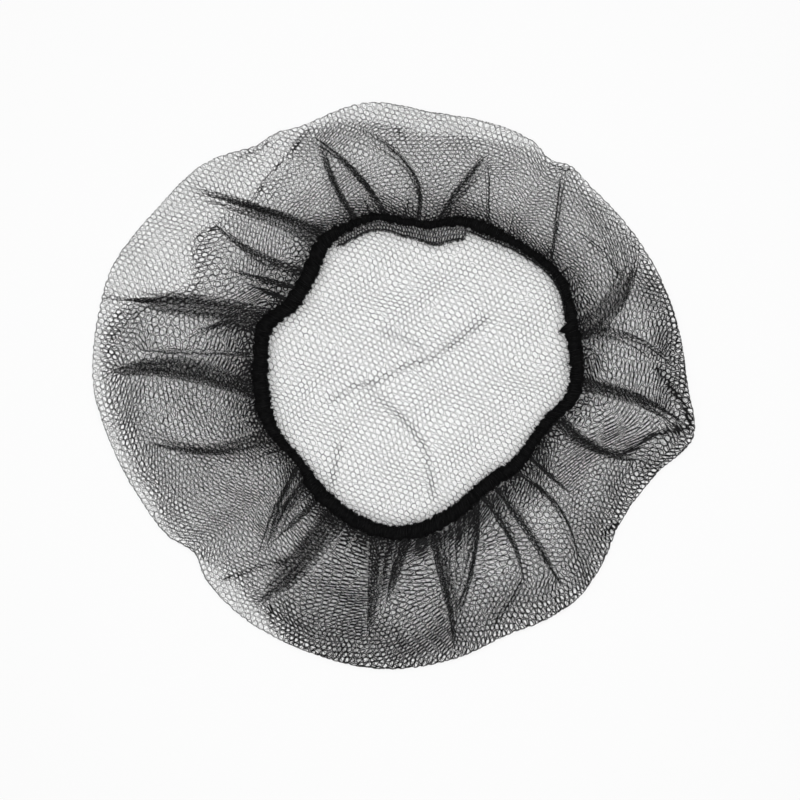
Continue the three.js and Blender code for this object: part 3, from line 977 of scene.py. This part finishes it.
class NetSettings(bpy.types.PropertyGroup):
    """Sizes and colours of the knitted net"""
    cut_diameter: bpy.props.FloatProperty(
        name="Cut diameter", description="Diameter of the round net before it is gathered",
        default=0.412, unit="LENGTH")
    cut_x: bpy.props.FloatProperty(
        name="Cut X", description="Middle of the cut along X, as it lies", default=-0.013, unit="LENGTH")
    cut_y: bpy.props.FloatProperty(
        name="Cut Y", description="Middle of the cut along Y, as it lies", default=-0.002, unit="LENGTH")
    cell_pitch: bpy.props.FloatProperty(
        name="Cell pitch", description="Distance between the middles of neighbouring cells",
        default=0.0027, unit="LENGTH")
    along_rows: bpy.props.FloatProperty(
        name="Along rows", description="Length of a cell along the net's rows, over that of an even cell",
        default=0.91)
    across_rows: bpy.props.FloatProperty(
        name="Across rows", description="Length of a cell across the net's rows, over that of an even cell",
        default=1.144)
    strand_width: bpy.props.FloatProperty(
        name="Thread width", description="Thickness of a knitted thread, more than real so that it shows",
        default=0.00027, unit="LENGTH")
    taut_width: bpy.props.FloatProperty(
        name="Taut thread width", description="Thickness of a thread where the side lies flat and taut",
        default=0.000125, unit="LENGTH")
    slack_width: bpy.props.FloatProperty(
        name="Slack thread width", description="Thickness of a thread where slack net springs it open",
        default=0.00036, unit="LENGTH")
    strand_gap: bpy.props.FloatProperty(
        name="Thread gap", description="Distance between the two threads of a strand",
        default=0.0005, unit="LENGTH")
    fold_bulk: bpy.props.FloatProperty(
        name="Fold bulk", description="Thickness of a thread inside a fold, over that of the slack net",
        default=0.72)
    crease_bulk: bpy.props.FloatProperty(
        name="Crease bulk", description="How much thicker the threads bunched in a crease look",
        default=2.2)
    full_rim: bpy.props.FloatProperty(
        name="Full rim", description="Width of the crown's edge where a full side springs its yarn open",
        default=0.007, unit="LENGTH")
    cell_slack: bpy.props.FloatProperty(
        name="Cell slack", description="How uneven the corners of the cells are",
        default=0.00018, unit="LENGTH")
    row_turn: bpy.props.FloatProperty(
        name="Row turn", description="Angle of the net's rows to the X axis",
        default=math.radians(45), subtype="ANGLE")
    rim_press: bpy.props.FloatProperty(
        name="Rim press", description="How plump the rim's roll is, as a share of the solid's",
        default=0.14)
    rim_catch: bpy.props.FloatProperty(
        name="Rim catch", description="Width of net that the rim's roll draws to its edge",
        default=0.0016, unit="LENGTH")
    rim_reach: bpy.props.FloatProperty(
        name="Rim reach", description="Mean distance from the rim to the hem", default=0.06, unit="LENGTH")
    hem_tuck: bpy.props.FloatProperty(
        name="Hem tuck", description="How far the net's edge is tucked into the hem",
        default=0.0012, unit="LENGTH")
    pucker_share: bpy.props.FloatProperty(
        name="Pucker share", description="Share of the slack between folds that puckers take up",
        default=0.22)
    wrinkle_length: bpy.props.FloatProperty(
        name="Wrinkle length", description="Distance between wrinkles that run round the net",
        default=0.011, unit="LENGTH")
    wrinkle_share: bpy.props.FloatProperty(
        name="Wrinkle share", description="Share of the spare net that those wrinkles take up",
        default=0.18)
    hem_draw: bpy.props.FloatProperty(
        name="Hem draw", description="How much of the net the hem draws towards itself", default=0.1)
    flat_draw: bpy.props.FloatProperty(
        name="Flat draw", description="How much more it draws where the net lies flat", default=0.15)
    crown_relief: bpy.props.FloatProperty(
        name="Crown relief", description="Unevenness of the crown on the floor",
        default=0.00006, unit="LENGTH")
    ease: bpy.props.FloatProperty(
        name="Ease", description="How far the net has eased out of square", default=0.0018, unit="LENGTH")
    billow: bpy.props.FloatProperty(
        name="Billow", description="Soft unevenness of the gathered skin", default=0.0012, unit="LENGTH")
    yarn_dark: bpy.props.StringProperty(name="Yarn dark", description="Darker yarn", default="#060607")
    yarn_light: bpy.props.StringProperty(name="Yarn light", description="Lighter yarn", default="#101012")

    def thread_half(self):
        """Half of the thickness of the crown's thread, in millimetres."""
        return self.strand_width / MM / 2

    def cell_area(self):
        """Area of one cell of the flat net, in square metres."""
        return math.sqrt(3) / 2 * self.cell_pitch**2 * self.along_rows * self.across_rows

    def cut_centre(self):
        """Middle of the round cut as it lies in the crown, in millimetres."""
        return np.array([self.cut_x / MM, self.cut_y / MM])

    def cut_reach(self, deg):
        """Distance from the origin to the edge of the cut, in millimetres."""
        centre, turn = self.cut_centre(), np.radians(deg)
        inward = centre[0] * np.cos(turn) + centre[1] * np.sin(turn)
        return inward + np.sqrt((self.cut_diameter / MM / 2) ** 2 - centre @ centre + inward**2)

    def cut_radius_at(self, share):
        """Mean radius of the flat cut, in millimetres, at a share of the skin."""
        rim = float(np.mean([row[OUTLINE_RADIUS] for row in OUTLINE]))
        return rim + (self.cut_diameter / MM / 2 - rim) * share


class HAIRNET_OT_net(bpy.types.Operator):
    """Knit the round net strand by strand and lay it gathered, as a crown and its sides"""
    bl_idname = "hairnet.net"
    bl_label = "Net"

    def execute(self, context):
        settings = context.scene.hairnet_net
        draping = Draping(settings)
        cut = settings.cut_diameter / MM / 2
        cells = net_cells(cut, settings)
        loops = eased(laid(cell_loops(cells, settings, 17), settings), settings.ease / MM)
        cells = laid(cells, settings)
        material = knitted_nylon(settings)

        radius, deg = np.hypot(*cells.T), np.mod(np.degrees(np.arctan2(*cells.T[::-1])), 360)
        crown = draping.zones(deg)[0]
        on_crown = radius <= crown
        parts = (
            ("crown_net_top", on_crown & (deg < 180), 90, "laid", ["floor"]),
            ("crown_net_bottom", on_crown & (deg >= 180), 270, "laid", ["floor"]),
            ("side_net_top", ~on_crown & (np.mod(deg - 45, 360) < 90), 90, "gathered",
             ["crown_net_top", "elastic_hem"]),
            ("side_net_left", ~on_crown & (np.mod(deg - 135, 360) < 90), 180, "gathered",
             ["crown_net_bottom", "elastic_hem"]),
            ("side_net_bottom", ~on_crown & (np.mod(deg - 225, 360) < 90), 270, "gathered",
             ["crown_net_bottom", "elastic_hem"]),
            ("side_net_right", ~on_crown & (np.mod(deg - 315, 360) < 90), 0, "gathered",
             ["crown_net_bottom", "elastic_hem"]),
        )
        for name, part, facing, held, rests_on in parts:
            points, bulk = draping.place(*loops[part].reshape(-1, 2).T)
            piece = knit(name, points, loop_edges(part.sum()), settings.strand_width, 3, material, bulk)
            finish_piece(piece, "nylon_net", "net_cap")
            part.sum() * settings.cell_area()
        return {"FINISHED"}


class HemSettings(bpy.types.PropertyGroup):
    """Sizes and colours of the hem and of the flaps inside the mouth"""
    thickness: bpy.props.FloatProperty(
        name="Thickness", description="Height of the bunched band", default=0.005, unit="LENGTH")
    joint: bpy.props.FloatProperty(
        name="Joint", description="How far the joint of the elastic stands into the mouth",
        default=0.0028, unit="LENGTH")
    gather_pitch: bpy.props.FloatProperty(
        name="Gather pitch", description="Distance between the gathers along the elastic",
        default=0.0034, unit="LENGTH")
    gather_depth: bpy.props.FloatProperty(
        name="Gather depth", description="Depth of the gathers", default=0.0008, unit="LENGTH")
    lump: bpy.props.FloatProperty(
        name="Lump", description="Unevenness of the bunched cloth", default=0.0012, unit="LENGTH")
    thread_pitch: bpy.props.FloatProperty(
        name="Thread pitch", description="Distance between the turns of the overlock thread",
        default=0.0029, unit="LENGTH")
    thread_width: bpy.props.FloatProperty(
        name="Thread width", description="Thickness of the overlock thread", default=0.0004, unit="LENGTH")
    frill_spacing: bpy.props.FloatProperty(
        name="Frill spacing", description="Distance between the net loops that stand out of the hem",
        default=0.0011, unit="LENGTH")
    frill_reach: bpy.props.FloatProperty(
        name="Frill reach", description="How far those loops stand out", default=0.0018, unit="LENGTH")
    flap_fullness: bpy.props.FloatProperty(
        name="Flap fullness", description="Net in the inside flaps, as a share of their length",
        default=1.7)
    edge_spacing: bpy.props.FloatProperty(
        name="Edge spacing", description="Distance between the loops along a flap's edge",
        default=0.0006, unit="LENGTH")
    edge_reach: bpy.props.FloatProperty(
        name="Edge reach", description="Size of the loops along a flap's edge",
        default=0.001, unit="LENGTH")
    cloth_dark: bpy.props.StringProperty(
        name="Cloth dark", description="Darker bunched cloth", default="#030303")
    cloth_light: bpy.props.StringProperty(
        name="Cloth light", description="Lighter bunched cloth", default="#0a0a0b")
    thread_dark: bpy.props.StringProperty(
        name="Thread dark", description="Darker thread", default="#030303")
    thread_light: bpy.props.StringProperty(
        name="Thread light", description="Lighter thread", default="#0a0a0b")


class HAIRNET_OT_hem(bpy.types.Operator):
    """Bunch the hem on its elastic, wind it with overlock thread and fringe it with net loops"""
    bl_idname = "hairnet.hem"
    bl_label = "Hem"

    stations = 960
    sides = 20
    thread_points = 14
    thread_start = 0.6
    thread_proud = 0.3
    return_slip = 9
    frill_points = 1200
    frill_sunk = 0.4

    def execute(self, context):
        settings = context.scene.hairnet_hem
        form = HemForm(settings)
        degs = np.repeat(form.evenly(self.stations), self.sides)
        turns = np.tile(np.arange(self.sides) * 2 * math.pi / self.sides, self.stations)
        station, side = np.divmod(np.arange(self.stations * self.sides), self.sides)
        onward = (station + 1) % self.stations * self.sides
        beside = (side + 1) % self.sides
        own = station * self.sides
        faces = np.column_stack([own + side, onward + side, onward + beside, own + beside])
        mesh = bpy.data.meshes.new("bunched_hem")
        mesh.from_pydata(form.place(degs, turns).tolist(), [], faces.tolist())
        mesh.shade_smooth()
        cloth = bunched_cloth(settings)
        mesh.materials.append(cloth)
        finish_piece(plain_object("bunched_hem", mesh), "elastic_hem", "elastic_hem")

        thread = binding_polyester(settings)
        turns = round(form.length * MM / settings.thread_pitch)
        count = self.thread_points * turns
        proud = settings.thread_width / MM * self.thread_proud
        for name, winding in (("overlock_thread", turns), ("overlock_return", self.return_slip - turns)):
            path = form.winding(winding, self.thread_start, count, proud)
            piece = knit(name, path, closed_path(count), settings.thread_width, 4, thread)
            finish_piece(piece, "elastic_hem")

        degs = form.evenly(self.frill_points)
        rows = (("inner_frill", degs, math.pi - 0.5, 1), ("inner_frill_low", degs, math.pi + 0.3, 2),
                ("outer_frill", degs[::-1], 0.5, 3), ("top_frill", degs[::-1], 1.3, 4))
        for name, around_hem, turn, seed in rows:
            path = form.place(around_hem, np.full(len(degs), turn), -self.frill_sunk)
            made = fringe(name, path, closed_path(len(degs)), settings.frill_spacing, settings.frill_reach,
                          context.scene.hairnet_net.slack_width, seed, cloth)
            finish_piece(made, "nylon_net")
        return {"FINISHED"}


class HAIRNET_OT_flap(bpy.types.Operator):
    """Turn a doubled strip of net out of the hem, inside the mouth"""
    bl_idname = "hairnet.flap"
    bl_label = "Hem flap"

    end_points = 12
    edge_points = 240

    def execute(self, context):
        net, settings = context.scene.hairnet_net, context.scene.hairnet_hem
        nylon = knitted_nylon(net)
        pitch = net.cell_pitch / MM
        strips = (("inside_flap", FLAP, ["hem_flap"], 0.88), ("inside_lip", LIP, [], 1.2))
        for name, rows, nodes, thick in strips:
            reach = max(row[1] for row in rows)
            long = math.radians(rows[-1][0] - rows[0][0]) * FLAP_RADIUS * settings.flap_fullness
            cells = net_cells(long, net)
            half_long, half_wide = long / 2 - pitch / 2, max(reach, 2 * pitch)
            cells = cells[(np.abs(cells[:, 0]) < half_long) & (np.abs(cells[:, 1]) < half_wide)]
            loops = cell_loops(cells, net, 23)
            points, out = self.place(loops.reshape(-1, 2), rows, long)
            bulk = thick * (FLAP_THIN + FLAP_FULL * out**2)
            piece = knit(name, points, loop_edges(len(cells)), net.slack_width, 3, nylon, bulk)
            finish_piece(piece, "nylon_net", *nodes)
            edge_path = self.place(self.edge_line(long, reach), rows, long)[0]
            edge = fringe(name + "_edge", edge_path, closed_path(len(edge_path))[:-1],
                          settings.edge_spacing, settings.edge_reach, net.slack_width, 5, nylon)
            finish_piece(edge, "nylon_net")
            area = len(cells) * net.cell_area()
        return {"FINISHED"}

    def edge_line(self, long, reach):
        """Flat points along one end of a strip and then along its middle line, where it is folded."""
        end = np.linspace(reach, 0, self.end_points, endpoint=False)
        middle = np.linspace(-long / 2, long / 2, self.edge_points)
        return np.vstack([np.column_stack([np.full(self.end_points, -long / 2), end]),
                          np.column_stack([middle, np.zeros(self.edge_points)])])

    def place(self, flat, rows, long):
        """Lying position of points of a strip folded along its middle, and how near the fold they are."""
        table = np.array(rows, dtype=float)
        deg = np.interp(flat[:, 0] / long + 0.5, (0, 1), (table[0, 0], table[-1, 0]))
        out = 1 - np.abs(flat[:, 1]) / np.abs(flat[:, 1]).max(initial=1.0)
        under = flat[:, 1] < 0
        x, y = polar(deg, FLAP_RADIUS, MOUTH_CENTRE)
        span = np.interp(deg, table[:, 0], table[:, 1]) + FLAP_TUCK
        inner = hem_middle(deg) - hem_half(deg)
        radius = inner + FLAP_TUCK - span * out + FLAP_STRAY * wobble(51, x / 9, y / 9)
        phase = 2 * math.pi * np.hypot(x - x.min(), y - y.min()) / RIPPLE_LENGTH
        phase = phase + RIPPLE_DRIFT * wobble(53, x / 12, y / 12, out) + UNDER_TURN * under
        ripple = RIPPLE_HEIGHT * (np.sin(phase) + 0.5 * wobble(52, x / 4, y / 4, out))
        height = hem_height(deg) - FLAP_DROP * out - UNDER_DROP * under + ripple
        return np.column_stack([*polar(deg, radius, MOUTH_CENTRE), height]) * MM, out


class StageSettings(bpy.types.PropertyGroup):
    """Picture, light and floor"""
    frame_width: bpy.props.FloatProperty(
        name="Frame width", description="Width of the floor that the picture shows",
        default=0.384, unit="LENGTH")
    frame_x: bpy.props.FloatProperty(
        name="Frame X", description="Middle of the picture along X", default=0.0034, unit="LENGTH")
    frame_y: bpy.props.FloatProperty(
        name="Frame Y", description="Middle of the picture along Y", default=-0.0072, unit="LENGTH")
    camera_height: bpy.props.FloatProperty(
        name="Camera height", description="Height of the camera above the floor",
        default=1.6, unit="LENGTH")
    key_strength: bpy.props.FloatProperty(
        name="Key strength", description="Power of the overhead softbox in watts", default=48.5)
    sky_strength: bpy.props.FloatProperty(
        name="Sky strength", description="Strength of the even studio light", default=0.18)
    floor_colour: bpy.props.StringProperty(
        name="Floor colour", description="Colour of the pale floor", default="#f4f4f4")


class HAIRNET_OT_stage(bpy.types.Operator):
    """Lay the pale floor and set the camera and the soft studio light"""
    bl_idname = "hairnet.stage"
    bl_label = "Stage"

    def execute(self, context):
        settings = context.scene.hairnet_stage
        scene = context.scene
        half = FLOOR_HALF
        corners = [(-half, -half, 0), (half, -half, 0), (half, half, 0), (-half, half, 0)]
        mesh = bpy.data.meshes.new("floor")
        mesh.from_pydata(corners, [], [(0, 1, 2, 3)])
        floor = plain_object("floor", mesh)
        paper = bpy.data.materials.new("matt_paper")
        paper.use_nodes = True
        shader = paper.node_tree.nodes["Principled BSDF"]
        shader.inputs["Base Color"].default_value = linear(settings.floor_colour)
        shader.inputs["Roughness"].default_value = 0.9
        mesh.materials.append(paper)

        lens = bpy.data.cameras.new("camera")
        lens.sensor_width = SENSOR_MM
        lens.lens = lens.sensor_width * settings.camera_height / settings.frame_width
        camera = bpy.data.objects.new("camera", lens)
        camera.location = (settings.frame_x, settings.frame_y, settings.camera_height)
        scene.collection.objects.link(camera)
        scene.camera = camera

        softbox = bpy.data.lights.new("softbox", "AREA")
        softbox.shape = "SQUARE"
        softbox.size = SOFTBOX_SIZE
        softbox.energy = settings.key_strength
        key = bpy.data.objects.new("softbox", softbox)
        key.location = (0, 0, SOFTBOX_HEIGHT)
        scene.collection.objects.link(key)

        world = bpy.data.worlds.new("studio")
        world.use_nodes = True
        sky = world.node_tree.nodes["Background"]
        sky.inputs["Color"].default_value = (1, 1, 1, 1)
        sky.inputs["Strength"].default_value = settings.sky_strength
        scene.world = world
        scene.view_settings.view_transform = "Standard"
        return {"FINISHED"}


class HAIRNET_PT_panel(bpy.types.Panel):
    """Settings of the hairnet and the steps that make it"""
    bl_label = "Disposable Hairnet"
    bl_idname = "HAIRNET_PT_panel"
    bl_space_type = "VIEW_3D"
    bl_region_type = "UI"
    bl_category = "Hairnet"

    def draw(self, context):
        scene = context.scene
        groups = (
            (scene.hairnet_stage, ("hairnet.stage",)),
            (scene.hairnet_net, ("hairnet.net",)),
            (scene.hairnet_hem, ("hairnet.hem", "hairnet.flap")),
        )
        for group, operators in groups:
            for key in group.__annotations__:
                self.layout.prop(group, key)
            for operator in operators:
                self.layout.operator(operator)


CLASSES = (NetSettings, HemSettings, StageSettings, HAIRNET_OT_stage, HAIRNET_OT_net, HAIRNET_OT_hem,
           HAIRNET_OT_flap, HAIRNET_PT_panel)


def register():
    for each in CLASSES:
        bpy.utils.register_class(each)
    bpy.types.Scene.hairnet_net = bpy.props.PointerProperty(type=NetSettings)
    bpy.types.Scene.hairnet_hem = bpy.props.PointerProperty(type=HemSettings)
    bpy.types.Scene.hairnet_stage = bpy.props.PointerProperty(type=StageSettings)


def unregister():
    del bpy.types.Scene.hairnet_stage
    del bpy.types.Scene.hairnet_hem
    del bpy.types.Scene.hairnet_net
    for each in reversed(CLASSES):
        bpy.utils.unregister_class(each)


def main():
    """Makes the stage and the hairnet."""
    register()
    bpy.ops.hairnet.stage()
    bpy.ops.hairnet.net()
    bpy.ops.hairnet.hem()
    bpy.ops.hairnet.flap()


if __name__ == "__main__":
    main()
